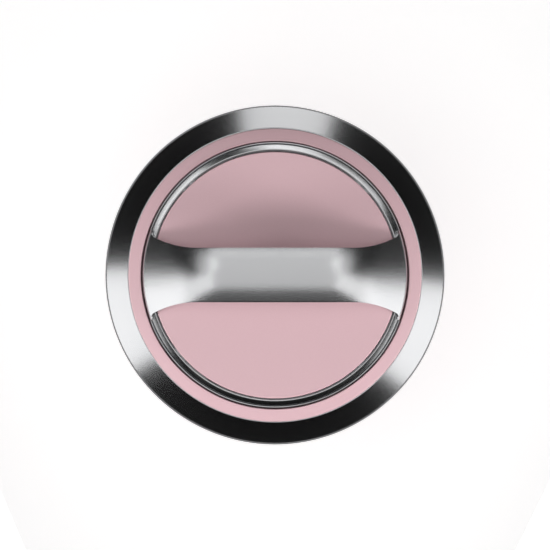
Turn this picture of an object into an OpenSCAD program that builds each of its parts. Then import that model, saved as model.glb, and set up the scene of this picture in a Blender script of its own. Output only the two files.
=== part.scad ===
// Hand-turned ice cream maker. An insulated round housing holds a double-walled freezing
// bowl. A bridge handle over the lid turns the paddle, and through a planetary gear case
// under the lid it turns the scraper the other way at a third of the speed.
// Millimetres, +Z up, origin on the floor under the middle of the housing.

/* [Housing] */
// Outer radius of the steel collar, the widest part
collar_r = 100; // [100:0.5:104]
// Outer radius of the painted body shell
shell_r = 97; // [96.5:0.1:97]
// Wall of the painted body shell
shell_wall = 2.6; // [2:0.1:2.7]
// Height of the rubber feet
foot_h = 4; // [3:0.5:5]
// Radius of the collar's bore, which the bowl passes
mouth_r = 85.6; // [85.5:0.1:85.8]
// Radius at which the collar's bevel ends in a narrow level lip
bevel_top_r = 86.2; // [86.1:0.1:86.6]
// Height of the collar's upper edge above the floor
mouth_z = 150.3; // [150:0.1:150.5]
// Slope of the collar's bevel, in degrees from level
bevel_slope = 35; // [33:1:37]
// Radius that rounds the bevel into the collar's side
collar_round = 5.6; // [4:0.1:6]
// Depth of the collar's side below its bevel's foot
collar_skirt = 13; // [10:1:20]

/* [Bowl] */
// Outer radius of the freezing bowl
bowl_r = 85; // [84:0.5:85]
// Inner radius of the freezing bowl
cavity_r = 70; // [70:0.5:71]
// Height of the bowl's inside floor above the ground
cavity_z = 32; // [31:0.5:33]
// Height of the bowl's rim above the ground
rim_z = 142; // [142]
// Thickness of the bowl's sheet walls
bowl_wall = 1.5; // [1:0.1:2]

/* [Lid] */
// Outer radius of the lid, whose edge lies just above the collar's lip
lid_r = 85.5; // [85.4:0.1:85.6]
// Radius of the sunk well in the lid
well_r = 78.2; // [78:0.1:78.4]
// Height of the lid's highest edge, round the well
lid_top_z = 153.1; // [152.8:0.1:153.3]
// Thickness of the lid's walls
lid_wall = 1.6; // [1.4:0.1:1.8]

/* [Handle] */
// Outer radius of the handle's rim
grip_rim_r = 77.4; // [77.2:0.1:77.5]
// Height at which the handle's side turns from upright to sloping
grip_knee_z = 154.6; // [154.3:0.1:155]
// Height of the bar's middle line above the ground
grip_top_z = 181; // [179:0.5:184]
// Half the width of the bar
bar_half = 15.6; // [15:0.1:18]
// Half the length of the bar's straight edges
bar_straight = 44.4; // [42:0.1:46]
// Radius of the curve by which each edge flares towards the rim
flare_r = 56; // [53:0.5:60]
// Corner radius of the two D-shaped openings
window_round = 3.5; // [2:0.1:5]
// Slope of the handle's ends, in degrees from level
grip_slope = 38.2; // [37:0.1:39]
// Radius of the bar's crown, measured across the bar
crown_r = 38; // [34:1:60]
// Thickness of the handle's sheet
grip_sheet = 1.6; // [1.2:0.1:1.8]

/* [Gears] */
// Gear module
gear_module = 1.5; // [1.5]
// Teeth on the sun gear and on each idler; the ring gear has three times as many
gear_teeth = 18; // [18]
// Tooth thickness given up for free running, at the pitch circle
gear_play = 0.18; // [0.12:0.02:0.24]

/* [Dashers] */
// Reach of the paddle's blades from the shaft's axis
paddle_reach = 54; // [44:1:56]
// Radius swept by the scraper blades
scraper_reach = 69.6; // [69.2:0.1:69.6]
// Radius of the drive shaft
shaft_r = 5; // [4.5:0.5:5]

/* [Hidden] */
$fn = 96;

// Colours
steel = "#b9bcc0";
pink = "#e3bcc1";
white = "#eceae6";
rubber = "#2c2c2e";
gear_white = "#f3f1ea";
foam = "#efe6c8";
gel = "#8fc4dc";

// Small gaps: a pressed or screwed joint, a running fit, and a cut that runs past a face
fit = 0.02;
running = 0.05;
past = 1;

// Housing levels and radii
base_z = foot_h;
base_h = 4;
shell_low_z = base_z + 1;
flange_r = 84;
flange_z = base_z + base_h;
flange_h = 2.4;
base_r = shell_r - shell_wall - 0.2;
foot_r = 9;
foot_ring = 78;
foot_stem_r = 3;
foot_stem_h = 3;
base_screw_ring = 89;
support_in_r = 58;
support_out_r = 61;
liner_z = 16;
liner_wall = 1.8;
liner_floor = 2;
liner_r = bowl_r + 1;
liner_out_r = liner_r + liner_wall;
bowl_z = liner_z + liner_floor;
lip_r = 90;
lip_z = 136.4;
lip_h = 1.8;
liner_flange_z = lip_z + lip_h;
liner_flange_r = shell_r - 0.5;
liner_flange_h = 1.6;
key_h = 2.5;
key_half = 4.5;
key_depth = 5;
foam_gap = 0.1;
trim_h = 9;
trim_wall = 1.4;
trim_z = shell_low_z + 1.5;

// Collar section
collar_wall = 1.6;
bevel_foot_z = mouth_z - (collar_r - bevel_top_r) * tan(bevel_slope);
collar_low_z = bevel_foot_z - collar_skirt;
collar_tangent = collar_round * tan((90 - bevel_slope) / 2);
seal_z = liner_flange_z + liner_flange_h;
seal_top_z = seal_z + 3.7;
collar_bore = shell_r + 0.1;

// Bowl levels
foot_ring_h = 3;
bowl_floor_z = bowl_z + foot_ring_h;
cap_h = 4;
cap_step = 2;
slot_depth = 2.8;
slot_low_r = 72;
slot_high_r = 79;
slot_half = 4.6;
plug_r = 6;

// Lid levels
well_floor_z = rim_z + 0.6;
well_top_z = well_floor_z + 1.8;
lid_edge_z = mouth_z + 1.1;
lid_lift_gap = 0.4;
lid_skirt_r = mouth_r - 0.4;
skirt_low_z = rim_z + 1.2;
spigot_r = cavity_r - 0.7;
spigot_z = rim_z - cap_h;
lug_half = 4;
lug_drop = 2.4;

// Gear case levels
pitch_r = gear_module * gear_teeth / 2;
idler_ring = 2 * pitch_r;
ring_pitch_r = 3 * pitch_r;
case_r = 54;
case_bore_r = 48;
case_top_z = well_floor_z - 1.8;
gear_top_z = case_top_z - 0.9;
gear_z = gear_top_z - 6.6;
ring_out_r = 46.5;
ring_disc_z = gear_z - 0.9;
ring_low_z = ring_disc_z - 2.5;
retainer_z = ring_low_z - running - 2.85;
retainer_r = 41.5;
case_screw_ring = 51;
idler_pin_r = 2.5;
pin_head_r = 4;
bush_r = 8;
bush_flange_r = 11;
bush_flange_h = 1.6;
glide_in_r = 56;
glide_out_r = 62;

// Hub levels
hub_z = 148;
hub_h = 2;
hub_top_z = hub_z + hub_h;
hub_r = 76.3;
hub_flange_z = hub_z - 1.6;
hub_flange_r = 69.8;
hub_screw_ring = 72.8;
grip_in_r = 76.6;
window_r = 76.5;
grip_lip = 0.5;
disc_r = 71.9;
disc_top_z = 154.5;
disc_wall = 1.8;
ring_in_r = 72.9;
ring_out_z = 153.2;
tenon = 6;

// Shaft and dashers
shaft_low_z = 41;
shaft_flat = 4.2;
paddle_z = 44;
paddle_top_z = 118;
paddle_hub_r = 9;
paddle_half = 2;
paddle_round = 8;
slot_w = 18;
slot_h = 12;
pin_r = 1.5;
pin_z = 111;
boss_r = 39;
boss_z = retainer_z - 0.8;
spoke_h = 4.8;
spoke_half = 7;
arm_half = 6;
arm_in = 61.5;
arm_out = 67;
frame_z = cavity_z + 2;
frame_bar_h = 4;
frame_screw_ring = 30;
blade_half = 1.6;

// Screws
screw_r = 1.5;
head_r = 2.7;
head_h = 1.6;

// A round slice between two heights
module disc(r, low, high) {
    translate([0, 0, low]) cylinder(r = r, h = high - low);
}

// A ring of rectangular section between two radii and two heights
module band(r_in, r_out, low, high) {
    difference() {
        disc(r_out, low, high);
        disc(r_in, low - past, high + past);
    }
}

// Children repeated evenly round the axis, the first at the angle start
module around(count, start = 0) {
    for (i = [0 : count - 1]) rotate(start + i * 360 / count) children();
}

// Children at a distance along X
module out(distance) {
    translate([distance, 0, 0]) children();
}

// A screw whose head lies below its shank, or above it when flipped
module screw(head_z, tip_z, shank = screw_r, head = head_r) {
    up = tip_z > head_z;
    disc(head, up ? head_z : head_z - head_h, up ? head_z + head_h : head_z);
    disc(shank, up ? head_z + head_h : tip_z, up ? tip_z : head_z - head_h);
}

// An upright rectangle with round corners, centred on X and standing on Y = 0
module round_rect(w, h, r) {
    translate([-w / 2 + r, 0]) square([w - 2 * r, h]);
    translate([-w / 2, r]) square([w, h - 2 * r]);
    for (x = [-w / 2 + r, w / 2 - r], y = [r, h - r]) translate([x, y]) circle(r);
}

// The shaft's round section with one flat, widened by a gap
module shaft_section(gap = 0) {
    difference() {
        circle(shaft_r + gap);
        translate([shaft_flat + gap, -shaft_r * 2]) square(shaft_r * 4);
    }
}

// ---- Housing ----

module rubber_feet() {
    color(rubber) around(4, 45) out(foot_ring) {
        disc(foot_r - 1, 0, 1);
        disc(foot_r, 1, foot_h);
        disc(foot_stem_r, foot_h - past, foot_h + foot_stem_h);
    }
}

module base_plate() {
    color(white) difference() {
        union() {
            disc(base_r, base_z, base_z + base_h);
            band(support_in_r, support_out_r, base_z + base_h - past, liner_z);
        }
        around(4, 45) out(foot_ring) disc(foot_stem_r + fit, base_z - past, base_z + foot_stem_h + fit);
        around(4) out(base_screw_ring) {
            disc(head_r + 0.3, base_z - past, base_z + 0.8 + head_h);
            disc(screw_r + 0.2, base_z, base_z + base_h + past);
        }
    }
}

module base_screws() {
    color(steel) around(4) out(base_screw_ring) screw(base_z + 0.8, flange_z + flange_h);
}

module base_trim() {
    color(steel) band(shell_r + fit, shell_r + trim_wall, trim_z, trim_z + trim_h);
}

module body_shell() {
    color(pink) difference() {
        rotate_extrude() {
            translate([shell_r - shell_wall, shell_low_z]) square([shell_wall, lip_z + lip_h - shell_low_z]);
            translate([lip_r, lip_z]) square([shell_r - lip_r, lip_h]);
            translate([flange_r, flange_z]) square([shell_r - flange_r, flange_h]);
        }
        around(4) out(base_screw_ring) disc(screw_r + fit, flange_z - past, flange_z + flange_h + past);
    }
}

module insulation() {
    outer = shell_r - shell_wall - foam_gap;
    color(foam) difference() {
        union() {
            disc(outer, flange_z + flange_h + foam_gap, lip_z - foam_gap);
            disc(flange_r - foam_gap, flange_z + foam_gap, flange_z + flange_h + 2 * foam_gap);
        }
        disc(liner_out_r + foam_gap, liner_z - foam_gap, lip_z + past);
        band(support_in_r - foam_gap, support_out_r + foam_gap, flange_z, liner_z);
    }
}

module inner_liner() {
    color(white) {
        difference() {
            union() {
                disc(liner_out_r, liner_z, liner_flange_z + liner_flange_h);
                disc(liner_flange_r, liner_flange_z, liner_flange_z + liner_flange_h);
            }
            disc(liner_r, liner_z + liner_floor, rim_z);
        }
        around(2) intersection() {
            translate([liner_r - key_depth, -key_half, bowl_z - past]) cube([key_depth + past, 2 * key_half, key_h + past]);
            disc(liner_r + fit, liner_z, rim_z);
        }
    }
}

module collar_seal() {
    color(rubber) band(mouth_r + 0.2, mouth_r + collar_wall, seal_z, seal_top_z);
}

// Outline of the collar's outside, with the bevel rounded into the side
module collar_outline() {
    top = bevel_foot_z + collar_tangent * sin(bevel_slope);
    polygon([
        [mouth_r, collar_low_z],
        [collar_r, collar_low_z],
        [collar_r, bevel_foot_z - collar_tangent],
        [collar_r - collar_tangent * cos(bevel_slope), top],
        [bevel_top_r, mouth_z],
        [mouth_r, mouth_z]]);
    translate([collar_r - collar_round, bevel_foot_z - collar_tangent]) circle(collar_round);
}

module collar_ring() {
    drop = collar_wall / cos(bevel_slope);
    inner = mouth_r + collar_wall;
    function under(r) = mouth_z - max(0, r - bevel_top_r) * tan(bevel_slope) - drop;
    color(steel) rotate_extrude() difference() {
        collar_outline();
        polygon([
            [inner, collar_low_z - past],
            [collar_bore, collar_low_z - past],
            [collar_bore, under(collar_bore)],
            [bevel_top_r, under(bevel_top_r)],
            [inner, under(inner)]]);
        translate([mouth_r - past, collar_low_z - past]) square([collar_wall + 2 * past, seal_top_z - collar_low_z + past]);
    }
}

// ---- Freezing bowl ----

module bowl_outer_wall() {
    color(steel) difference() {
        disc(bowl_r, bowl_z, rim_z - cap_h);
        disc(bowl_r - bowl_wall, bowl_z - past, bowl_floor_z);
        disc(bowl_r - bowl_wall, bowl_floor_z + bowl_wall, rim_z);
        disc(plug_r + fit, bowl_z, bowl_floor_z + 2 * bowl_wall);
        around(2) out(bowl_r) translate([0, 0, bowl_z + foot_ring_h / 2 - past / 2])
            cube([4 * bowl_wall, 2 * key_half + past, foot_ring_h + past], center = true);
    }
}

module freezing_gel() {
    inner = cavity_r + bowl_wall + foam_gap;
    color(gel) difference() {
        disc(bowl_r - bowl_wall - foam_gap, bowl_floor_z + bowl_wall + foam_gap, rim_z - cap_h - cap_step - 1);
        disc(inner, cavity_z - bowl_wall - foam_gap, rim_z);
        disc(plug_r + 1, bowl_floor_z, bowl_floor_z + 2 * bowl_wall + 1);
    }
}

module bowl_inner_wall() {
    color(steel) difference() {
        disc(cavity_r + bowl_wall, cavity_z - bowl_wall, rim_z - cap_h);
        disc(cavity_r, cavity_z, rim_z);
    }
}

module bowl_rim_cap() {
    color(white) difference() {
        union() {
            band(cavity_r, bowl_r, rim_z - cap_h, rim_z);
            band(cavity_r + bowl_wall + fit, bowl_r - bowl_wall - fit, rim_z - cap_h - cap_step, rim_z - cap_h + fit);
        }
        around(3, 30) translate([slot_low_r, -slot_half, rim_z - slot_depth])
            cube([slot_high_r - slot_low_r, 2 * slot_half, slot_depth + past]);
    }
}

module bowl_plug() {
    color(white) {
        disc(plug_r, bowl_floor_z, bowl_floor_z + bowl_wall + 1);
        disc(plug_r + 2, bowl_floor_z - 1, bowl_floor_z);
    }
}

// ---- Lid with its gear case ----

module lid_cover() {
    color(pink) difference() {
        union() {
            rotate_extrude() {
                polygon([
                    [well_r, lid_top_z],
                    [lid_r, lid_edge_z],
                    [lid_r, mouth_z + lid_lift_gap],
                    [lid_skirt_r, mouth_z + lid_lift_gap],
                    [lid_skirt_r - lid_wall, mouth_z + lid_lift_gap],
                    [well_r, lid_top_z - lid_wall]]);
                translate([lid_skirt_r - lid_wall, skirt_low_z]) square([lid_wall, mouth_z + past - skirt_low_z]);
                translate([well_r, well_floor_z]) square([lid_wall, lid_top_z - well_floor_z - lid_wall / 2]);
                translate([0, well_floor_z]) square([well_r + lid_wall, well_top_z - well_floor_z]);
                translate([spigot_r - lid_wall, spigot_z]) square([lid_wall, well_floor_z - spigot_z + fit]);
            }
            around(3, 30) translate([slot_low_r + 1, -lug_half, well_floor_z - lug_drop])
                cube([slot_high_r - slot_low_r - 2, 2 * lug_half, lug_drop + fit]);
        }
        disc(bush_r + fit, well_floor_z - past, well_top_z + past);
        around(4) out(case_screw_ring) disc(screw_r + fit, well_floor_z - past, well_top_z + past);
    }
}

module lid_seal() {
    color(rubber) band(well_r + lid_wall + fit, lid_skirt_r - lid_wall - fit, rim_z, rim_z + 4);
}

module gear_housing() {
    color(white) difference() {
        union() {
            band(case_bore_r, case_r, ring_low_z - running, well_floor_z);
            disc(case_r - 1, case_top_z, well_floor_z);
        }
        disc(bush_r + fit, case_top_z - past, well_floor_z + past);
        around(3) out(idler_ring) disc(idler_pin_r + fit, case_top_z - past, well_floor_z + past);
        around(4) out(case_screw_ring) disc(screw_r + fit, gear_z + 3, well_floor_z + past);
        around(4, 45) out(case_screw_ring) disc(screw_r + fit, retainer_z, gear_z + 2);
    }
}

module idler_pins() {
    color(steel) around(3) out(idler_ring) {
        disc(idler_pin_r, gear_z - 0.4, well_floor_z);
        disc(pin_head_r, gear_z - 0.5, gear_z - 0.1);
    }
}

module lid_screws() {
    color(steel) around(4) out(case_screw_ring) screw(well_top_z + head_h, gear_z + 3.5);
}

module retaining_ring() {
    color(white) difference() {
        band(retainer_r, case_r, retainer_z, ring_low_z - running);
        around(4, 45) out(case_screw_ring) {
            disc(screw_r + fit, retainer_z - past, ring_low_z + past);
            disc(head_r + 0.1, retainer_z - past, retainer_z + 0.4 + head_h);
        }
    }
}

module retainer_screws() {
    color(steel) around(4, 45) out(case_screw_ring) screw(retainer_z + 0.4, gear_z + 1.5);
}

module shaft_bush() {
    color(gear_white) difference() {
        union() {
            disc(bush_r, case_top_z, well_top_z + fit);
            disc(bush_flange_r, well_top_z, well_top_z + bush_flange_h);
        }
        disc(shaft_r + running, case_top_z - past, hub_z);
    }
}

module glide_ring() {
    color(gear_white) band(glide_in_r, glide_out_r, well_top_z, hub_z - running);
}

// ---- Handle with its hub, shaft and paddle ----

// Centre of the small circle that rounds a corner of a D-shaped opening
function corner_centre() =
    let (
        flare = [bar_straight, bar_half + flare_r],
        far = norm(flare),
        rim_side = window_r - window_round,
        flare_side = flare_r - window_round,
        along = (rim_side * rim_side - flare_side * flare_side + far * far) / (2 * far),
        across = sqrt(rim_side * rim_side - along * along))
    along * flare / far + across * [flare[1], -flare[0]] / far;

// Outline of one D-shaped opening, on the +Y side: straight along the bar, flared towards its
// corners. Each corner is cut round in short straight steps.
module window_outline() {
    flare = [bar_straight, bar_half + flare_r];
    centre = corner_centre();
    steps = 6;
    first = atan2(centre[1], centre[0]);
    last = atan2(centre[1] - flare[1], centre[0] - flare[0]);
    arc = [for (i = [0 : steps]) let (turn = first + (last - first) * i / steps)
        centre + window_round * [cos(turn), sin(turn)]];
    rim_end = 2 * arc[0] - arc[1];
    flare_end = 2 * arc[steps] - arc[steps - 1];
    beyond = [1.1 * grip_in_r, flare_end[1] - window_round];
    difference() {
        intersection() {
            circle(window_r);
            union() {
                translate([-bar_straight, bar_half]) square([2 * bar_straight, grip_in_r]);
                for (side = [-1, 1]) translate([side * flare[0], flare[1]]) circle(flare_r);
            }
        }
        for (side = [0, 1]) mirror([side, 0])
            polygon(concat([rim_end], [for (i = [1 : steps - 1]) arc[i]], [flare_end, beyond]));
    }
}

// The cup that the handle is cut from: an upright wall, a cone, and a top crowned across the
// bar. Below the lip it is whole all round.
module cup(wall_r, knee_z, low_z, crown) {
    peak_z = grip_top_z + 2;
    peak_r = wall_r - (peak_z - knee_z) / tan(grip_slope);
    intersection() {
        union() {
            disc(wall_r, low_z, knee_z);
            translate([0, 0, knee_z]) cylinder(r1 = wall_r, r2 = peak_r, h = peak_z - knee_z);
        }
        union() {
            disc(wall_r + past, low_z - past, knee_z + grip_lip);
            translate([0, 0, grip_top_z - crown_r]) rotate([0, 90, 0]) cylinder(r = crown, h = 4 * wall_r, center = true);
        }
    }
}

module turn_handle() {
    slope_gap = grip_sheet / sin(grip_slope);
    // Rounded to a tenth, so that the cavity's wall and cone meet exactly
    inner_knee_z = round(10 * (grip_knee_z - (grip_in_r - grip_rim_r + slope_gap) * tan(grip_slope))) / 10;
    color(steel) difference() {
        cup(grip_rim_r, grip_knee_z, hub_flange_z, crown_r);
        cup(grip_in_r, inner_knee_z, hub_z, crown_r - grip_sheet);
        disc(hub_flange_r, hub_flange_z - past, hub_z + past);
        for (side = [0, 1]) mirror([0, side]) translate([0, 0, hub_top_z])
            linear_extrude(grip_top_z) window_outline();
        around(4, 45) out(hub_screw_ring) disc(screw_r + fit, hub_flange_z - past, hub_z + past);
    }
}

module hub_ring() {
    color(steel) rotate_extrude() polygon([
        [ring_in_r, hub_top_z],
        [hub_r - 0.1, hub_top_z],
        [hub_r - 0.1, ring_out_z],
        [ring_in_r + 0.5, disc_top_z + 0.1],
        [ring_in_r, disc_top_z + 0.1]]);
}

module hub_disc() {
    color(pink) {
        disc(disc_r, disc_top_z - disc_wall, disc_top_z);
        band(disc_r - 2 * disc_wall, disc_r, hub_top_z, disc_top_z - disc_wall + fit);
        band(7, 9, hub_top_z, disc_top_z - disc_wall + fit);
    }
}

module hub_plate() {
    color(steel) difference() {
        disc(hub_r, hub_z, hub_top_z);
        translate([0, 0, hub_z + hub_h / 2]) cube([tenon + 2 * fit, tenon + 2 * fit, hub_h + past], center = true);
        around(4, 45) out(hub_screw_ring) disc(screw_r + fit, hub_z - past, hub_top_z + past);
    }
}

module drive_shaft() {
    color(steel) difference() {
        union() {
            translate([0, 0, shaft_low_z]) linear_extrude(gear_top_z - shaft_low_z) shaft_section();
            disc(shaft_r, gear_top_z, hub_z);
            translate([0, 0, hub_z + hub_h / 2 - past / 2]) cube([tenon, tenon, hub_h + past], center = true);
        }
        disc(screw_r + fit, case_top_z, hub_top_z + past);
        translate([0, 0, pin_z]) rotate([90, 0, 0]) cylinder(r = pin_r + fit, h = 4 * shaft_r, center = true);
    }
}

// Outline of a gear by its involute flanks. Teeth point outwards from the root circle to the
// tip circle, and half is half the tooth's thickness at the pitch circle, as an angle.
function involute(base, r) = let (turn = acos(min(1, base / r))) tan(turn) * 180 / PI - turn;
function tooth_edge(teeth, root, tip, half) =
    let (
        pitch = gear_module * teeth / 2,
        base = pitch * cos(20),
        start = max(base, root),
        steps = 4)
    [for (i = [0 : steps]) let (r = start + (tip - start) * i / steps)
        [r, half + involute(base, pitch) - involute(base, r)]];
function gear_points(teeth, root, tip, half) =
    let (edge = tooth_edge(teeth, root, tip, half), last = len(edge) - 1)
    [for (k = [0 : teeth - 1]) let (middle = k * 360 / teeth) each concat(
        [[root * cos(middle - edge[0][1]), root * sin(middle - edge[0][1])]],
        [for (p = edge) if (p[0] > root) [p[0] * cos(middle - p[1]), p[0] * sin(middle - p[1])]],
        [for (i = [last : -1 : 0]) let (p = edge[i]) if (p[0] > root)
            [p[0] * cos(middle + p[1]), p[0] * sin(middle + p[1])]],
        [[root * cos(middle + edge[0][1]), root * sin(middle + edge[0][1])]])];

// An external gear's outline, with a tooth centred on the angle phase
module gear_outline(teeth, phase) {
    pitch = gear_module * teeth / 2;
    half = 90 / teeth - gear_play / 2 / pitch * 180 / PI;
    rotate(phase) polygon(gear_points(teeth, pitch - 1.25 * gear_module, pitch + gear_module, half));
}

module sun_gear() {
    color(gear_white) translate([0, 0, gear_z]) linear_extrude(gear_top_z - gear_z) difference() {
        gear_outline(gear_teeth, 0);
        shaft_section(fit);
    }
}

module hub_screws() {
    color(steel) around(4, 45) out(hub_screw_ring) {
        disc(head_r, hub_flange_z - head_h + 0.1, hub_flange_z);
        disc(screw_r, hub_flange_z - past, hub_top_z);
    }
}

module shaft_screw() {
    color(steel) {
        disc(shaft_r, hub_top_z, hub_top_z + 1.5);
        disc(screw_r, case_top_z + 1, hub_top_z + past);
    }
}

module stirring_paddle() {
    height = paddle_top_z - paddle_z;
    slot_x = (paddle_hub_r + paddle_reach) / 2;
    slot_gap = height / 3;
    color(white) difference() {
        union() {
            translate([0, 0, paddle_z]) rotate([90, 0, 0]) linear_extrude(2 * paddle_half, center = true) difference() {
                round_rect(2 * paddle_reach, height, paddle_round);
                for (side = [-1, 1], level = [0 : 2])
                    translate([side * slot_x, (level + 0.5) * slot_gap - slot_h / 2]) round_rect(slot_w, slot_h, slot_h / 3);
            }
            disc(paddle_hub_r, paddle_z, paddle_top_z);
        }
        translate([0, 0, paddle_z - past]) linear_extrude(height + 2 * past) shaft_section(fit);
        translate([0, 0, pin_z]) rotate([90, 0, 0]) cylinder(r = pin_r + fit, h = 4 * paddle_hub_r, center = true);
    }
}

module paddle_pin() {
    color(steel) translate([0, 0, pin_z]) rotate([90, 0, 0]) cylinder(r = pin_r, h = 2 * paddle_hub_r, center = true);
}

// ---- Idlers ----

module idler_gear(index) {
    color(gear_white) rotate(index * 120) translate([idler_ring, 0, gear_z]) difference() {
        linear_extrude(gear_top_z - gear_z) gear_outline(gear_teeth, 180 / gear_teeth);
        disc(idler_pin_r + running, -past, gear_top_z);
    }
}
module idler_gear_1() { idler_gear(0); }
module idler_gear_2() { idler_gear(1); }
module idler_gear_3() { idler_gear(2); }

// ---- Scraper ----

module ring_gear() {
    teeth = 3 * gear_teeth;
    half = 90 / teeth + gear_play / 2 / ring_pitch_r * 180 / PI;
    color(gear_white) difference() {
        disc(ring_out_r, ring_low_z, gear_top_z);
        translate([0, 0, ring_disc_z]) linear_extrude(gear_top_z) rotate(180 / teeth)
            polygon(gear_points(teeth, ring_pitch_r - gear_module, ring_pitch_r + 1.25 * gear_module, half));
        disc(bush_r + fit, ring_low_z - past, gear_top_z);
        around(4, 45) out(frame_screw_ring) disc(screw_r + fit, ring_low_z - past, ring_disc_z - 0.4);
    }
}

module scraper_frame() {
    spoke_z = boss_z - spoke_h;
    color(white) difference() {
        union() {
            disc(boss_r, boss_z, ring_low_z);
            translate([-arm_out, -spoke_half, spoke_z]) cube([2 * arm_out, 2 * spoke_half, spoke_h]);
            disc(bush_r + 4, spoke_z, boss_z + fit);
            for (side = [0, 1]) mirror([side, 0]) translate([arm_in, -arm_half, frame_z])
                cube([arm_out - arm_in, 2 * arm_half, boss_z - frame_z]);
            translate([-arm_out, -arm_half, frame_z]) cube([2 * arm_out, 2 * arm_half, frame_bar_h]);
        }
        disc(bush_r + fit, spoke_z - past, ring_low_z + past);
        around(4, 45) out(frame_screw_ring) {
            disc(screw_r + fit, boss_z - past, ring_low_z + past);
            disc(head_r + 0.2, boss_z - past, boss_z + head_h);
        }
        for (side = [0, 1]) mirror([side, 0]) blade_body(fit);
    }
}

// A scraper blade: a rib set into the arm's slot, with a thinner edge that reaches the wall
module blade_body(gap) {
    low = frame_z - gap;
    high = boss_z - spoke_h + gap;
    translate([arm_out - 2.5 - gap, -blade_half - gap, low]) cube([3 + gap, 2 * (blade_half + gap), high - low]);
}
module scraper_blade() {
    color(gear_white) {
        blade_body(0);
        translate([arm_out, -blade_half, frame_z]) cube([scraper_reach - arm_out, 2 * blade_half, boss_z - spoke_h - frame_z]);
    }
}
module scraper_blade_left() { mirror([1, 0]) scraper_blade(); }
module scraper_blade_right() { scraper_blade(); }

module frame_bush() {
    color(gear_white) band(shaft_r + running, bush_r, boss_z - spoke_h, ring_disc_z);
}

module frame_screws() {
    color(steel) around(4, 45) out(frame_screw_ring) screw(boss_z, ring_disc_z - 0.5);
}

rubber_feet();
base_plate();
base_screws();
base_trim();
body_shell();
insulation();
inner_liner();
collar_seal();
collar_ring();
bowl_outer_wall();
freezing_gel();
bowl_inner_wall();
bowl_rim_cap();
bowl_plug();
lid_cover();
lid_seal();
gear_housing();
idler_pins();
lid_screws();
retaining_ring();
retainer_screws();
shaft_bush();
glide_ring();
turn_handle();
hub_ring();
hub_disc();
hub_plate();
drive_shaft();
sun_gear();
hub_screws();
shaft_screw();
stirring_paddle();
paddle_pin();
idler_gear_1();
idler_gear_2();
idler_gear_3();
ring_gear();
scraper_frame();
scraper_blade_left();
scraper_blade_right();
frame_bush();
frame_screws();
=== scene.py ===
# Hand-turned ice cream maker: pink insulated housing, steel collar, lift-out freezing bowl, and
# a lid whose bridge handle turns the paddle and, through a gear case, the scraper.
import math
import bmesh
import bpy
from mathutils import Matrix, Vector


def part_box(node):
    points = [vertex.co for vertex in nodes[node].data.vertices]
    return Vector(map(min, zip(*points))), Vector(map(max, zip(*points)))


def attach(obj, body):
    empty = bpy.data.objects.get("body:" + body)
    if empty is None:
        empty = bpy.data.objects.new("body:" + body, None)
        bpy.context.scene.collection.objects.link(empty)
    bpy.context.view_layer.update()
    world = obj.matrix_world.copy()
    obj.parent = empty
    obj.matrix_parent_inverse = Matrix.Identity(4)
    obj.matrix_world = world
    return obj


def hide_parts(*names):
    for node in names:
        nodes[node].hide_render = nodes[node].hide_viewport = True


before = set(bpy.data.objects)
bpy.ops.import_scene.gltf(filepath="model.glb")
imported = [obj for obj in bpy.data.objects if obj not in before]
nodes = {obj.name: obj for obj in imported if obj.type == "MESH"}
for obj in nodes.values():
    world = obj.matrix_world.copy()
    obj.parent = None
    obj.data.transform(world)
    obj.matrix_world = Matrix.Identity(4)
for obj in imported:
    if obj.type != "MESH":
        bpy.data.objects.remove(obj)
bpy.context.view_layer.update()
MM = 0.001

# ---- Camera -------------------------------------------------------------------------------
# A long lens straight above the middle, so that the collar's widest edge fills six tenths of
# the frame. That edge is a little below the collar's top.
collar_low, collar_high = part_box("collar_ring")
collar_r = collar_high.x
edge_drop = 0.0097
edge_z = collar_high.z - edge_drop
camera_height = 1.3
collar_share = 0.6175
camera = bpy.data.objects.new("camera", bpy.data.cameras.new("camera"))
camera.data.sensor_width = 36
camera.data.lens = 36 * collar_share * camera_height / (2 * collar_r)
camera.location = (0, 0, edge_z + camera_height)
bpy.context.scene.collection.objects.link(camera)
bpy.context.scene.camera = camera


def linear(code):
    """An sRGB hex colour as linear light, with alpha 1."""
    parts = [int(code[i:i + 2], 16) / 255 for i in (1, 3, 5)]
    return tuple(c / 12.92 if c <= 0.04045 else ((c + 0.055) / 1.055) ** 2.4 for c in parts) + (1,)


def add(tree, kind, links=(), **settings):
    """Adds a shader node. Settings name its properties or sockets, links are (socket, output)."""
    node = tree.nodes.new("ShaderNode" + kind)
    for name, value in settings.items():
        if hasattr(node, name):
            setattr(node, name, value)
        else:
            socket = int(name[1:]) if name[1:].isdigit() else name.replace("_", " ")
            node.inputs[socket].default_value = value
    for socket, output in links:
        tree.links.new(output, node.inputs[socket])
    return node


def new_material(name, **surface):
    """A material with one Principled shader, its constants set on the shader's own sockets."""
    material = bpy.data.materials.new(name)
    material.use_nodes = True
    tree = material.node_tree
    shader = tree.nodes["Principled BSDF"]
    for socket, value in surface.items():
        shader.inputs[socket.replace("_", " ")].default_value = value
    return material, tree, shader


def vary(tree, shader, tint=None, shine=None, dents=None):
    """Lets patterns vary a shader: tint (pattern, colour, colour), shine (pattern, lowest, highest
    roughness) and dents (pattern, strength, depth in metres)."""
    def output(pattern):
        return pattern.outputs.get("Fac") or pattern.outputs["Distance"]

    if tint:
        node = add(tree, "Mix", [("Factor", output(tint[0]))], data_type="RGBA",
                   _6=linear(tint[1]), _7=linear(tint[2]))
        tree.links.new(node.outputs["Result"], shader.inputs["Base Color"])
    if shine:
        node = add(tree, "MapRange", [("Value", output(shine[0]))], To_Min=shine[1], To_Max=shine[2])
        tree.links.new(node.outputs["Result"], shader.inputs["Roughness"])
    if dents:
        node = add(tree, "Bump", [("Height", output(dents[0]))], Strength=dents[1], Distance=dents[2])
        tree.links.new(node.outputs["Normal"], shader.inputs["Normal"])


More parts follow.
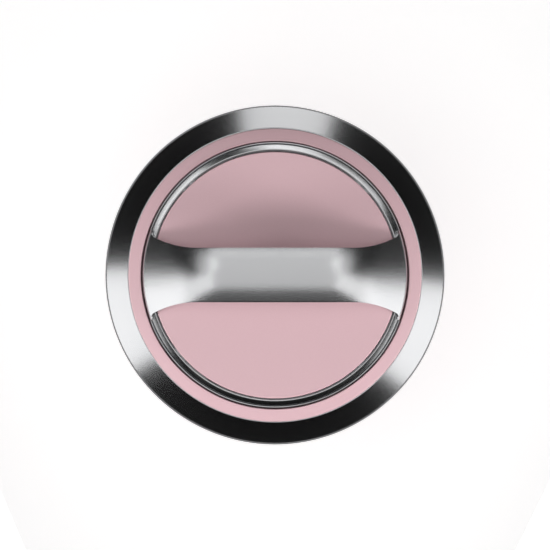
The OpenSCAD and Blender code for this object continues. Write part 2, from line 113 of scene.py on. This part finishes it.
# ---- Floor --------------------------------------------------------------------------------
# A plain white paper sweep, much wider than the machine.
paper, tree, shader = new_material("white_paper", Base_Color=linear("#F4F4F3"), Roughness=0.9,
                                   Emission_Color=linear("#FFFFFF"), Emission_Strength=0.72)
shape = bmesh.new()
bmesh.ops.create_grid(shape, x_segments=1, y_segments=1, size=12)
floor = bpy.data.objects.new("floor", bpy.data.meshes.new("floor"))
shape.to_mesh(floor.data)
floor.data.materials.append(paper)
bpy.context.scene.collection.objects.link(floor)
floor.visible_glossy = False

# Steel mirrors this dim sheet in place of the glowing paper, as a sweep out of the light looks.
dim_paper, tree, shader = new_material("dim_grey_paper", Base_Color=linear("#000000"), Roughness=1.0,
                                       Emission_Color=linear("#FFFFFF"), Emission_Strength=0.32)
dim_sheet = bpy.data.objects.new("dim_sheet", floor.data.copy())
dim_sheet.data.materials[0] = dim_paper
dim_sheet.visible_camera = dim_sheet.visible_diffuse = dim_sheet.visible_shadow = False
bpy.context.scene.collection.objects.link(dim_sheet)

# ---- Light --------------------------------------------------------------------------------
# Soft panels that light no paint stand round the machine and above it, and steel mirrors them
# as broad bright sectors. Two raking keys and two fills, which steel doesn't mirror, light the
# paint. The room between them is dark.
world = bpy.data.worlds.new("dark_studio")
world.use_nodes = True
world.node_tree.nodes["Background"].inputs["Color"].default_value = (1, 1, 1, 1)
world.node_tree.nodes["Background"].inputs["Strength"].default_value = 0.003
bpy.context.scene.world = world
bpy.context.scene.view_settings.view_transform = "Standard"
aim_point = Vector((0, 0, 0.15))


linked_lamps = []


def panel(name, azimuth, elevation, width, height, radiance, distance=1.2, paint=False,
          lights=(), spares=()):
    """A lamp facing the machine, of a given brightness per area, mirrored by steel or lighting
    paint. It may light only some pieces, or spare some."""
    lamp = bpy.data.lights.new(name, "AREA")
    lamp.shape = "RECTANGLE"
    lamp.size, lamp.size_y = width, height
    lamp.energy = radiance * math.pi * width * height
    holder = bpy.data.objects.new(name, lamp)
    a, e = math.radians(azimuth), math.radians(elevation)
    away = Vector((math.cos(a) * math.cos(e), math.sin(a) * math.cos(e), math.sin(e)))
    holder.location = aim_point + away * distance
    holder.rotation_euler = away.to_track_quat("Z", "Y").to_euler()
    holder.visible_camera = False
    holder.visible_glossy = not paint
    holder.visible_diffuse = paint
    bpy.context.scene.collection.objects.link(holder)
    if lights or spares:
        linked_lamps.append((holder, lights or spares, "INCLUDE" if lights else "EXCLUDE"))


HUB_TRIM, BAR = ("hub_ring_turned", "handle_rim"), ("handle_bar",)
panel("panel_west", 196, 11, 0.78, 0.72, 1.42, spares=BAR)
panel("panel_west_bar", 200, 11, 0.82, 0.72, 1.55, lights=BAR)
panel("panel_west_high", 200, 46, 0.60, 0.76, 1.18, spares=HUB_TRIM)
panel("panel_east", 338, 11, 0.82, 0.72, 1.42, spares=BAR)
panel("panel_east_bar", 337, 11, 0.82, 0.72, 1.55, lights=BAR)
panel("panel_east_high", 340, 46, 0.60, 0.76, 1.18, spares=HUB_TRIM)
panel("panel_north", 86, 13, 0.68, 0.78, 1.00)
panel("panel_north_east", 64, 42, 1.20, 0.46, 1.22, lights=HUB_TRIM)
panel("panel_north_west", 142, 35, 0.66, 0.30, 1.55, lights=HUB_TRIM)
panel("panel_north_bar", 90, 44, 1.00, 0.40, 0.62, lights=BAR)
panel("shoulder_west", 150, 55, 0.60, 0.60, 0.65, lights=BAR)
panel("shoulder_east", 30, 55, 0.60, 0.60, 0.65, lights=BAR)
panel("panel_top", 90, 82, 1.2, 1.50, 0.74, distance=1.15)
panel("panel_south_high", 270, 50, 1.5, 0.46, 0.13)
key_azimuths = {"west": 203, "east": 334}
panel("key_west", key_azimuths["west"], 14, 0.45, 0.28, 38.0, distance=1.3, paint=True)
panel("key_east", key_azimuths["east"], 14, 0.45, 0.28, 41.0, distance=1.3, paint=True)
panel("fill_top", 220, 82, 1.4, 1.4, 1.50, distance=1.5, paint=True)
panel("fill_side", 235, 12, 0.9, 0.5, 0.9, distance=1.4, paint=True)

# A low card before each key keeps its raking light on the top and off the body's side.
card_width, card_height, card_reach = 0.60, 0.17, 0.22
for side, azimuth in key_azimuths.items():
    shape = bmesh.new()
    bmesh.ops.create_grid(shape, x_segments=1, y_segments=1, size=0.5)
    bmesh.ops.scale(shape, verts=shape.verts, vec=(card_width, card_height, 1))
    bmesh.ops.rotate(shape, verts=shape.verts, cent=(0, 0, 0),
                     matrix=Matrix.Rotation(math.pi / 2, 3, "X"))
    bmesh.ops.translate(shape, verts=shape.verts, vec=(0, card_reach, card_height / 2))
    bmesh.ops.rotate(shape, verts=shape.verts, cent=(0, 0, 0),
                     matrix=Matrix.Rotation(math.radians(azimuth - 90), 3, "Z"))
    card = bpy.data.objects.new("card_" + side, bpy.data.meshes.new("card_" + side))
    shape.to_mesh(card.data)
    shape.free()
    card.data.materials.append(paper)
    card.visible_camera = card.visible_glossy = card.visible_diffuse = False
    bpy.context.scene.collection.objects.link(card)

# ---- Collar -------------------------------------------------------------------------------
# The collar is one spun ring of stainless steel, rubbed satin. Its wide bevel falls to a soft
# edge, and its skirt grips the top of the body shell.


def outline(corners):
    """Section points in metres from (r, z, rounding) corners in mm; round ones become arcs."""
    points = []
    for i, (r, z, rounding) in enumerate(corners):
        here = Vector((r, z))
        if not rounding:
            points.append(here)
            continue
        before = (Vector(corners[i - 1][:2]) - here).normalized()
        after = (Vector(corners[(i + 1) % len(corners)][:2]) - here).normalized()
        half = before.angle(after) / 2
        reach = rounding / math.tan(half)
        middle = here + (before + after).normalized() * rounding / math.sin(half)
        start = here + before * reach - middle
        end = here + after * reach - middle
        steps = max(2, math.ceil(math.degrees(math.pi - 2 * half) / 9))
        for k in range(steps + 1):
            blend = k / steps
            sweep = start.lerp(end, blend)
            points.append(middle + sweep.normalized() * rounding)
    return [Vector((p.x, 0, p.y)) * MM for p in points]


def finish_piece(piece_name, shape, material, body, stands_for=(), crease=28):
    """Makes a piece of a bmesh: smooth but for creases, riding on its body, in its finish."""
    for face in shape.faces:
        face.smooth = True
    mesh = bpy.data.meshes.new(piece_name)
    shape.to_mesh(mesh)
    shape.free()
    mesh.set_sharp_from_angle(angle=math.radians(crease))
    mesh.materials.append(material)
    piece = bpy.data.objects.new(piece_name, mesh)
    bpy.context.scene.collection.objects.link(piece)
    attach(piece, body)
    if stands_for:
        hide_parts(*stands_for)
    return piece


def turned(corners, steps=192):
    """A bmesh of a closed section in mm, turned a full circle round Z."""
    shape = bmesh.new()
    ring = [shape.verts.new(p) for p in outline(corners)]
    edges = [shape.edges.new((ring[i - 1], ring[i])) for i in range(len(ring))]
    bmesh.ops.spin(shape, geom=ring + edges, cent=(0, 0, 0), axis=(0, 0, 1), angle=math.tau,
                   steps=steps, use_merge=True)
    bmesh.ops.remove_doubles(shape, verts=shape.verts, dist=1e-7)
    bmesh.ops.recalc_face_normals(shape, faces=shape.faces)
    return shape


satin_steel, tree, shader = new_material("satin_spun_stainless_steel", Metallic=1.0)
place = add(tree, "TexCoord").outputs["Object"]
# Satin rubbing leaves faint cloud 30 mm wide, and grain of about 0.5 mm that hardly shows.
grain = add(tree, "TexNoise", [("Vector", place)], Scale=2000.0, Detail=3.0, Roughness=0.6)
cloud = add(tree, "TexNoise", [("Vector", place)], Scale=30.0, Detail=2.0)
vary(tree, shader, tint=(cloud, "#CCCDCF", "#D4D4D5"), shine=(grain, 0.17, 0.25),
     dents=(grain, 0.06, 0.0002))

slope = math.tan(math.radians(35))
outer_r, shell_r, mouth_r, bevel_r, mouth_z = 100, 97, 85.6, 86.2, 150.3
foot_z = mouth_z - (outer_r - bevel_r) * slope
low_z = collar_low.z / MM
seal_top, collar_wall = 143.5, 1.6
collar = turned([
    (outer_r, low_z, 0.5), (outer_r, foot_z, 3.6), (bevel_r, mouth_z, 0.6), (mouth_r, mouth_z, 0.2),
    (mouth_r, seal_top, 0.3), (mouth_r + collar_wall, seal_top, 0.3),
    (mouth_r + collar_wall, mouth_z - 2.65, 0.4), (shell_r + 0.1, foot_z + 0.08, 0.5),
    (shell_r + 0.1, low_z, 0.5)])
finish_piece("collar_ring_spun", collar, satin_steel, "housing", ["collar_ring"])

# ---- Lid ----------------------------------------------------------------------------------
# The lid is pressed aluminium in pink powder coat. Only its shallow ring shows round the well
# that the handle's hub turns in.
pink_coat, tree, shader = new_material("pink_powder_coat", IOR=1.5)
place = add(tree, "TexCoord").outputs["Object"]
# Powder coat flows into an orange peel of about 1.2 mm, with fine speckle of 0.3 mm on it.
peel = add(tree, "TexNoise", [("Vector", place)], Scale=850.0, Detail=2.0, Roughness=0.5)
speck = add(tree, "TexNoise", [("Vector", place)], Scale=3200.0, Detail=1.0)
vary(tree, shader, tint=(speck, "#E2B9C0", "#EAC5CB"), shine=(peel, 0.34, 0.44), dents=(peel, 0.1, 0.0002))

well_low, well_top, well_r, well_out_r = 142.6, 144.4, 78.2, 79.8
spigot_in_r, spigot_r, spigot_z = 67.7, 69.3, 138
skirt_in_r, skirt_r, skirt_z, lid_edge_r, bush_hole_r = 83.6, 85.2, 143.2, 85.5, 8.02
lid = turned([
    (bush_hole_r, well_low, 0), (spigot_in_r, well_low, 0), (spigot_in_r, spigot_z, 0.4),
    (spigot_r, spigot_z, 0.4), (spigot_r, well_low, 0), (well_out_r, well_low, 0),
    (well_out_r, 151.2, 0.6), (skirt_in_r, 150.5, 0.6), (skirt_in_r, skirt_z, 0.4),
    (skirt_r, skirt_z, 0.4), (skirt_r, 150.7, 0), (lid_edge_r, 150.7, 0.1), (lid_edge_r, 151.4, 0.4),
    (well_r, 153.1, 0.5), (well_r, well_top, 0.8), (bush_hole_r, well_top, 0)])
finish_piece("lid_pressed", lid, pink_coat, "lid", ["lid_cover"])

# ---- Handle -------------------------------------------------------------------------------
# The bridge handle is pressed from one steel sheet: a thin round rim with a crowned bar across
# it, whose ends slope down and flare into the rim round two D-shaped openings.
blasted_steel, tree, shader = new_material("bead_blasted_stainless_steel", Metallic=1.0)
place = add(tree, "TexCoord").outputs["Object"]
# Blast marks of 0.6 to 0.9 mm, drawn somewhat coarse, break the edge of each reflection.
grain = add(tree, "TexNoise", [("Vector", place)], Scale=1350.0, Detail=2.0, Roughness=0.7)
cloud = add(tree, "TexNoise", [("Vector", place)], Scale=30.0, Detail=2.0)
vary(tree, shader, tint=(cloud, "#CBCCCE", "#D3D3D4"), shine=(grain, 0.19, 0.30),
     dents=(grain, 0.3, 0.0002))

rim_r, window_r = 77.4, 76.5
bar_half, bar_straight, flare_r, corner_r = 15.6, 44.4, 56.0, 3.5
knee_z, bar_top, bar_crown = 154.6, 181.0, 38.0
end_slope = math.radians(38.2)
fall = math.tan(end_slope)
knee_round = 4.0
knee_tangent = knee_round * math.tan((math.pi / 2 - end_slope) / 2)
knee_reach = knee_tangent * math.cos(end_slope)

rim = turned([
    (rim_r, 146.4, 0.5), (rim_r, 153.7, 0.3), (window_r + 0.2, 153.7, 0.3),
    (window_r + 0.2, 148, 0.4), (69.8, 148, 0.3), (69.8, 146.4, 0.3)])
flare_middle = Vector((bar_straight, bar_half + flare_r))
far = flare_middle.length
rim_side, flare_side = window_r - corner_r, flare_r - corner_r
along = (rim_side ** 2 - flare_side ** 2 + far ** 2) / (2 * far)
across = math.sqrt(rim_side ** 2 - along ** 2)
corner_middle = (flare_middle * along + Vector((flare_middle.y, -flare_middle.x)) * across) / far
rim_point = corner_middle * window_r / rim_side
flare_point = flare_middle + (corner_middle - flare_middle) * flare_r / flare_side
rim_angle = math.atan2(rim_point.y, rim_point.x)

# Under the bar's ends the rim stands lower, inside the bar's rounded knee.
for vert in rim.verts:
    past_corner = (math.atan2(abs(vert.co.y), abs(vert.co.x)) - rim_angle) / math.radians(2.5)
    if vert.co.z > 150 * MM:
        vert.co.z -= 1.2 * MM * min(1, max(0, 0.5 - past_corner))
finish_piece("handle_rim", rim, satin_steel, "handle")


def arc_point(middle, start, end, share):
    """The point a share of the way along the arc from start to end round a middle."""
    first, last = start - middle, end - middle
    turn = first.angle_signed(last)
    return middle + Matrix.Rotation(-turn * share, 2) @ first


def bar_edge(share):
    """A point of the opening's edge, from the bar's middle at 0 to the rim's outside at 1."""
    legs = [(0.40, lambda t: Vector((bar_straight * t, bar_half))),
            (0.76, lambda t: arc_point(flare_middle, Vector((bar_straight, bar_half)), flare_point, t)),
            (0.94, lambda t: arc_point(corner_middle, flare_point, rim_point, t)),
            (1.01, lambda t: rim_point * (1 + t * (rim_r - 0.02 - window_r) / window_r))]
    begin = 0
    for stop, leg in legs:
        if share <= stop:
            return leg(min(1, (share - begin) / (min(stop, 1) - begin)))
        begin = stop


def bar_height(x, y):
    """Height of the handle's upper face: the lower of crown and cone, blended at the bend."""
    r = math.hypot(x, y)
    crown = bar_top - bar_crown + math.sqrt(bar_crown ** 2 - min(abs(y), 40) ** 2)
    cone = knee_z + (rim_r - r) * fall
    bend = 12.0
    gap = crown - cone
    low = min(crown, cone)
    if abs(gap) < bend:
        low -= (bend - abs(gap)) ** 2 / (4 * bend)
    side = rim_r - r
    if side < knee_reach:
        low = min(low, knee_z - knee_tangent + math.sqrt(max(0, knee_round ** 2 - (knee_round - side) ** 2)))
    return low


shape = bmesh.new()
bmesh.ops.create_grid(shape, x_segments=96, y_segments=36, size=1)
for vert in shape.verts:
    share, side = abs(vert.co.x), abs(vert.co.y)
    edge = bar_edge(share)
    middle_x = edge.x if share < 0.4 else edge.x + (edge.length - edge.x) * ((share - 0.4) / 0.6) ** 1.5
    flat = Vector((middle_x + (edge.x - middle_x) * side ** 2, edge.y * side))
    if share > 0.4:
        round_off = min(1, (share - 0.4) / 0.5)
        turn = math.atan2(edge.y, edge.x) * side
        curved = edge.length * Vector((math.cos(turn), math.sin(turn)))
        flat = flat.lerp(curved, round_off * round_off * (3 - 2 * round_off))
    x, y = math.copysign(flat.x, vert.co.x), math.copysign(flat.y, vert.co.y)
    vert.co = Vector((x, y, bar_height(x, y))) * MM
bmesh.ops.recalc_face_normals(shape, faces=shape.faces)
bar = finish_piece("handle_bar", shape, blasted_steel, "handle", ["turn_handle"], crease=60)
sheet = bar.modifiers.new("sheet", "SOLIDIFY")
sheet.thickness = 1.6 * MM
sheet.offset = -1
sheet.use_even_offset = True
eased = bar.modifiers.new("eased", "BEVEL")
eased.width = 0.5 * MM
eased.segments = 3
eased.limit_method = "ANGLE"
eased.angle_limit = math.radians(60)

# ---- Hub ----------------------------------------------------------------------------------
# Inside the rim a bevelled steel ring frames the pink disc that hides the hub's screws.
hub_ring = turned([
    (72.9, 150, 0.2), (76.2, 150, 0.2), (76.2, 153.2, 0.3), (73.5, 154.6, 0.5), (72.9, 154.6, 0.25)])
finish_piece("hub_ring_turned", hub_ring, satin_steel, "handle", ["hub_ring"])
disc_r, disc_top, disc_wall, hub_top = 71.9, 154.5, 1.8, 150
hub_disc = turned([
    (0.01, disc_top - disc_wall, 0), (disc_r - 2 * disc_wall, disc_top - disc_wall, 0),
    (disc_r - 2 * disc_wall, hub_top, 0), (disc_r, hub_top, 0.3), (disc_r, disc_top, 0.6),
    (0.01, disc_top, 0)])
finish_piece("hub_disc_pressed", hub_disc, pink_coat, "handle", ["hub_disc"])

# ---- Hidden faces of the hub ---------------------------------------------------------------
# The hub plate and the drive shaft are turned steel, left bright from the lathe. Screws and
# pins hold them, so they keep the CAD shapes, with their edges broken by a light chamfer.
turned_steel, tree, shader = new_material("turned_stainless_steel", Metallic=1.0)
place = add(tree, "TexCoord").outputs["Object"]
# Tool marks run round the axis about 0.6 mm apart; finer marks would not show.
marks = add(tree, "TexWave", [("Vector", place)], wave_type="RINGS", rings_direction="Z",
            Scale=260.0, Distortion=1.5, Detail=2.0, Detail_Scale=3.0)
streak = add(tree, "TexNoise", [("Vector", place)], Scale=120.0, Detail=3.0)
vary(tree, shader, tint=(streak, "#BFC1C4", "#CDCECF"), shine=(streak, 0.22, 0.36),
     dents=(marks, 0.15, 0.0002))


def dress(node_name, material, ease=0.3, crease=40):
    """Gives a CAD node its material, joins its loose triangles and breaks its sharp edges."""
    node = nodes[node_name]
    node.data.materials.clear()
    node.data.materials.append(material)
    node.data.polygons.foreach_set("use_smooth", [True] * len(node.data.polygons))
    node.data.polygons.foreach_set("material_index", [0] * len(node.data.polygons))
    join = node.modifiers.new("join", "WELD")
    join.merge_threshold = 0.005 * MM
    if ease:
        flat = node.modifiers.new("flat", "DECIMATE")
        flat.decimate_type = "DISSOLVE"
        flat.angle_limit = math.radians(0.5)
        chamfer = node.modifiers.new("chamfer", "BEVEL")
        chamfer.width = ease * MM
        chamfer.segments = 2
        chamfer.limit_method = "ANGLE"
        chamfer.angle_limit = math.radians(crease)
        chamfer.harden_normals = False
    split = node.modifiers.new("split", "EDGE_SPLIT")
    split.split_angle = math.radians(crease)


for name in ("hub_plate", "drive_shaft", "idler_pins", "paddle_pin"):
    dress(name, turned_steel)

# ---- Body shell ---------------------------------------------------------------------------
# The outer shell is rolled sheet with the same pink powder coat. Its top edge turns inwards
# under the collar, and a flange inside its foot takes the base screws.
shell_in_r, shell_low, lip_top, lip_low, lip_in_r = 94.4, 5, 138.2, 136.4, 90
flange_top, flange_low, flange_in_r = 10.4, 8, 84
body = turned([
    (shell_r, shell_low, 0.8), (shell_r, lip_top, 0.8), (lip_in_r, lip_top, 0.3),
    (lip_in_r, lip_low, 0.3), (shell_in_r, lip_low, 0.5), (shell_in_r, flange_top, 0.5),
    (flange_in_r, flange_top, 0.3), (flange_in_r, flange_low, 0.3), (shell_in_r, flange_low, 0),
    (shell_in_r, shell_low, 0.8)])
finish_piece("body_shell_rolled", body, pink_coat, "housing", ["body_shell"])

# ---- Base ---------------------------------------------------------------------------------
# A narrow steel band trims the shell's foot. A white moulded plate closes the base, and four
# rubber feet are pressed into it.
trim_in_r, trim_r, trim_low, trim_top = shell_r + 0.02, 98.4, 6.5, 15.5
trim = turned([
    (trim_in_r, trim_low, 0.2), (trim_r, trim_low, 0.5), (trim_r, trim_top, 0.5),
    (trim_in_r, trim_top, 0.2)])
finish_piece("base_trim_rolled", trim, satin_steel, "housing", ["base_trim"])

black_rubber, tree, shader = new_material("moulded_nitrile_rubber", IOR=1.52)
place = add(tree, "TexCoord").outputs["Object"]
# A fine matt texture from the mould, about 0.4 mm, with dust-grey variation over 8 mm.
skin = add(tree, "TexNoise", [("Vector", place)], Scale=2500.0, Detail=2.0)
cloud = add(tree, "TexNoise", [("Vector", place)], Scale=120.0, Detail=2.0)
vary(tree, shader, tint=(cloud, "#222224", "#343436"), shine=(skin, 0.62, 0.82), dents=(skin, 0.25, 0.0002))

foot_ring, foot_r, foot_h, stem_r, stem_top = 78, 9, 4, 3, 7
feet = turned([
    (0.01, 0, 0), (foot_r - 1, 0, 0.6), (foot_r, 1.2, 0.5), (foot_r, foot_h, 0.3), (stem_r, foot_h, 0),
    (stem_r, stem_top, 0.4), (0.01, stem_top, 0)], 64)
bmesh.ops.translate(feet, verts=feet.verts, vec=(foot_ring * MM, 0, 0))
bmesh.ops.rotate(feet, verts=feet.verts, cent=(0, 0, 0),
                 matrix=Matrix.Rotation(math.radians(45), 3, "Z"))
bmesh.ops.spin(feet, geom=feet.verts[:] + feet.edges[:] + feet.faces[:], cent=(0, 0, 0), axis=(0, 0, 1),
               angle=math.radians(270), steps=3, use_duplicate=True)
bmesh.ops.recalc_face_normals(feet, faces=feet.faces)
finish_piece("rubber_feet_moulded", feet, black_rubber, "housing", ["rubber_feet"])

white_plastic, tree, shader = new_material("moulded_white_polypropylene", IOR=1.49,
                                           Subsurface_Weight=0.08, Subsurface_Scale=0.002)
place = add(tree, "TexCoord").outputs["Object"]
# Spark-eroded mould skin of about 0.8 mm, and faint flow clouding some 25 mm across.
skin = add(tree, "TexNoise", [("Vector", place)], Scale=1300.0, Detail=3.0)
flow = add(tree, "TexNoise", [("Vector", place)], Scale=40.0, Detail=2.0, Distortion=0.6)
vary(tree, shader, tint=(flow, "#E6E4DF", "#F0EEEA"), shine=(skin, 0.36, 0.52), dents=(skin, 0.12, 0.0002))
dress("base_plate", white_plastic, ease=0.4)

zinc_steel, tree, shader = new_material("zinc_plated_steel", Metallic=1.0)
place = add(tree, "TexCoord").outputs["Object"]
# Passivated zinc has a soft mottle about 2 mm across and a slightly blue cast.
mottle = add(tree, "TexNoise", [("Vector", place)], Scale=500.0, Detail=3.0)
vary(tree, shader, tint=(mottle, "#A9AEB6", "#C3C6C9"), shine=(mottle, 0.3, 0.48))
for name in ("base_screws", "lid_screws", "retainer_screws", "hub_screws", "shaft_screw", "frame_screws"):
    dress(name, zinc_steel)

# ---- Insulation and liner -----------------------------------------------------------------
# Foam fills the space between the shell and a white moulded liner, whose flange is clamped
# under the collar with a rubber seal. Two ribs in its floor stop the bowl from turning.
foam, tree, shader = new_material("poured_polyurethane_foam", Roughness=0.95)
place = add(tree, "TexCoord").outputs["Object"]
# Open cells 1 to 2 mm wide, drawn a little coarser than the real ones so that they show. The colour is
# darker towards each cell's middle, where the bump sinks a pit: painted shade in the pits.
cells_and_pit_shade = add(tree, "TexVoronoi", [("Vector", place)], Scale=650.0)
vary(tree, shader, tint=(cells_and_pit_shade, "#D9CBA0", "#F0E7C9"), dents=(cells_and_pit_shade, 0.6, 0.0006))
dress("insulation", foam, ease=0)
dress("inner_liner", white_plastic, ease=0.4)

seal_in_r, seal_r, seal_low = 85.8, 87.2, 139.8
seal = turned([
    (seal_in_r, seal_low, 0.4), (seal_r, seal_low, 0.4), (seal_r, seal_top, 0.4),
    (seal_in_r, seal_top, 0.4)])
finish_piece("collar_seal_moulded", seal, black_rubber, "housing", ["collar_seal"])

# ---- Freezing bowl ------------------------------------------------------------------------
# The bowl is two deep-drawn steel cups with freezing gel sealed between them. A white moulded
# cap joins their rims, and a plug in the floor closes the filling hole.
drawn_steel, tree, shader = new_material("deep_drawn_stainless_steel", Metallic=1.0)
place = add(tree, "TexCoord").outputs["Object"]
stretch = add(tree, "Mapping", [("Vector", place)], Scale=(1.0, 1.0, 0.06))
# Fine draw lines run up the wall, about 0.7 mm apart, over a soft waviness of 20 mm.
lines = add(tree, "TexNoise", [("Vector", stretch.outputs["Vector"])], Scale=1400.0, Detail=3.0)
wave = add(tree, "TexNoise", [("Vector", place)], Scale=50.0, Detail=1.0)
vary(tree, shader, tint=(lines, "#C6C8CA", "#D4D5D6"), shine=(lines, 0.16, 0.3), dents=(wave, 0.2, 0.0004))
dress("bowl_outer_wall", drawn_steel, ease=0.5)

cavity_r, cavity_z, cup_wall, cup_top = 70, 32, 1.5, 138
cup = turned([
    (0.01, cavity_z - cup_wall, 0), (cavity_r + cup_wall, cavity_z - cup_wall, 5.5),
    (cavity_r + cup_wall, cup_top, 0), (cavity_r, cup_top, 0), (cavity_r, cavity_z, 4),
    (0.01, cavity_z, 0)])
finish_piece("bowl_inner_wall_drawn", cup, drawn_steel, "bowl", ["bowl_inner_wall"])

gel, tree, shader = new_material("sealed_freezing_gel", Roughness=0.2, IOR=1.36)
place = add(tree, "TexCoord").outputs["Object"]
# Frost clouds some 12 mm across.
frost = add(tree, "TexNoise", [("Vector", place)], Scale=80.0, Detail=4.0)
vary(tree, shader, tint=(frost, "#7FB6CF", "#B4D9E6"))
dress("freezing_gel", gel, ease=0)
dress("bowl_rim_cap", white_plastic, ease=0.6)
dress("bowl_plug", white_plastic, ease=0.3)

# ---- Under the lid ------------------------------------------------------------------------
# Three lugs under the lid's well key it to slots in the bowl's cap, over a rubber seal. The
# white gear case hangs from the well's floor, closed by a screwed retaining ring.
lug_size, lug_r, lug_z, lug_ease = Vector((5, 8, 2.5)), 75.5, 141.45, 0.5
lugs = bmesh.new()
bmesh.ops.create_cube(lugs, size=1)
bmesh.ops.scale(lugs, verts=lugs.verts, vec=lug_size * MM)
bmesh.ops.translate(lugs, verts=lugs.verts, vec=Vector((lug_r, 0, lug_z)) * MM)
bmesh.ops.bevel(lugs, geom=lugs.edges[:], offset=lug_ease * MM, offset_type="OFFSET", segments=3,
                profile=0.5, affect="EDGES", clamp_overlap=True, material=-1)
bmesh.ops.rotate(lugs, verts=lugs.verts, cent=(0, 0, 0), matrix=Matrix.Rotation(math.radians(30), 3, "Z"))
bmesh.ops.spin(lugs, geom=lugs.verts[:] + lugs.edges[:] + lugs.faces[:], cent=(0, 0, 0), axis=(0, 0, 1),
               angle=math.radians(240), steps=2, use_duplicate=True)
bmesh.ops.recalc_face_normals(lugs, faces=lugs.faces)
finish_piece("lid_lugs", lugs, pink_coat, "lid")

lid_ring = turned([(79.82, 142, 0.4), (83.58, 142, 0.4), (83.58, 146, 0.4), (79.82, 146, 0.4)])
finish_piece("lid_seal_moulded", lid_ring, black_rubber, "lid", ["lid_seal"])
dress("gear_housing", white_plastic, ease=0.4)
dress("retaining_ring", white_plastic, ease=0.4)

# ---- Gears and bearings -------------------------------------------------------------------
# Sun, idlers and ring gear, the bushes and the blades are moulded acetal, which is slippery,
# slightly see-through and glossier than the case.
acetal, tree, shader = new_material("moulded_acetal", IOR=1.48,
                                    Subsurface_Weight=0.15, Subsurface_Scale=0.003)
place = add(tree, "TexCoord").outputs["Object"]
# Faint flow lines about 5 mm apart and a fine skin of 0.8 mm.
flow = add(tree, "TexNoise", [("Vector", place)], Scale=200.0, Detail=2.0, Distortion=1.0)
skin = add(tree, "TexNoise", [("Vector", place)], Scale=1300.0, Detail=2.0)
vary(tree, shader, tint=(flow, "#EDEBE2", "#F7F5EF"), shine=(skin, 0.22, 0.34), dents=(skin, 0.06, 0.0002))
for name in ("shaft_bush", "glide_ring", "frame_bush", "scraper_blade_left", "scraper_blade_right"):
    dress(name, acetal)
for name in ("sun_gear", "idler_gear_1", "idler_gear_2", "idler_gear_3", "ring_gear"):
    dress(name, acetal, ease=0, crease=25)

# ---- Paddle and scraper -------------------------------------------------------------------
# The paddle is one white moulding pinned to the shaft, and the scraper's frame is another,
# screwed up into the ring gear. Their edges are well rounded, to leave no sharp corner in
# the mix.
dress("stirring_paddle", white_plastic, ease=0.7)
dress("scraper_frame", white_plastic, ease=0.6)

# ---- Which pieces each panel lights --------------------------------------------------------
# Some panels light only the bar or the hub's ring, and some leave those out.
for holder, piece_names, state in linked_lamps:
    group = bpy.data.collections.new(holder.name)
    for piece_name in piece_names:
        group.objects.link(bpy.data.objects[piece_name])
    for member in group.collection_objects:
        member.light_linking.link_state = state
    holder.light_linking.receiver_collection = group
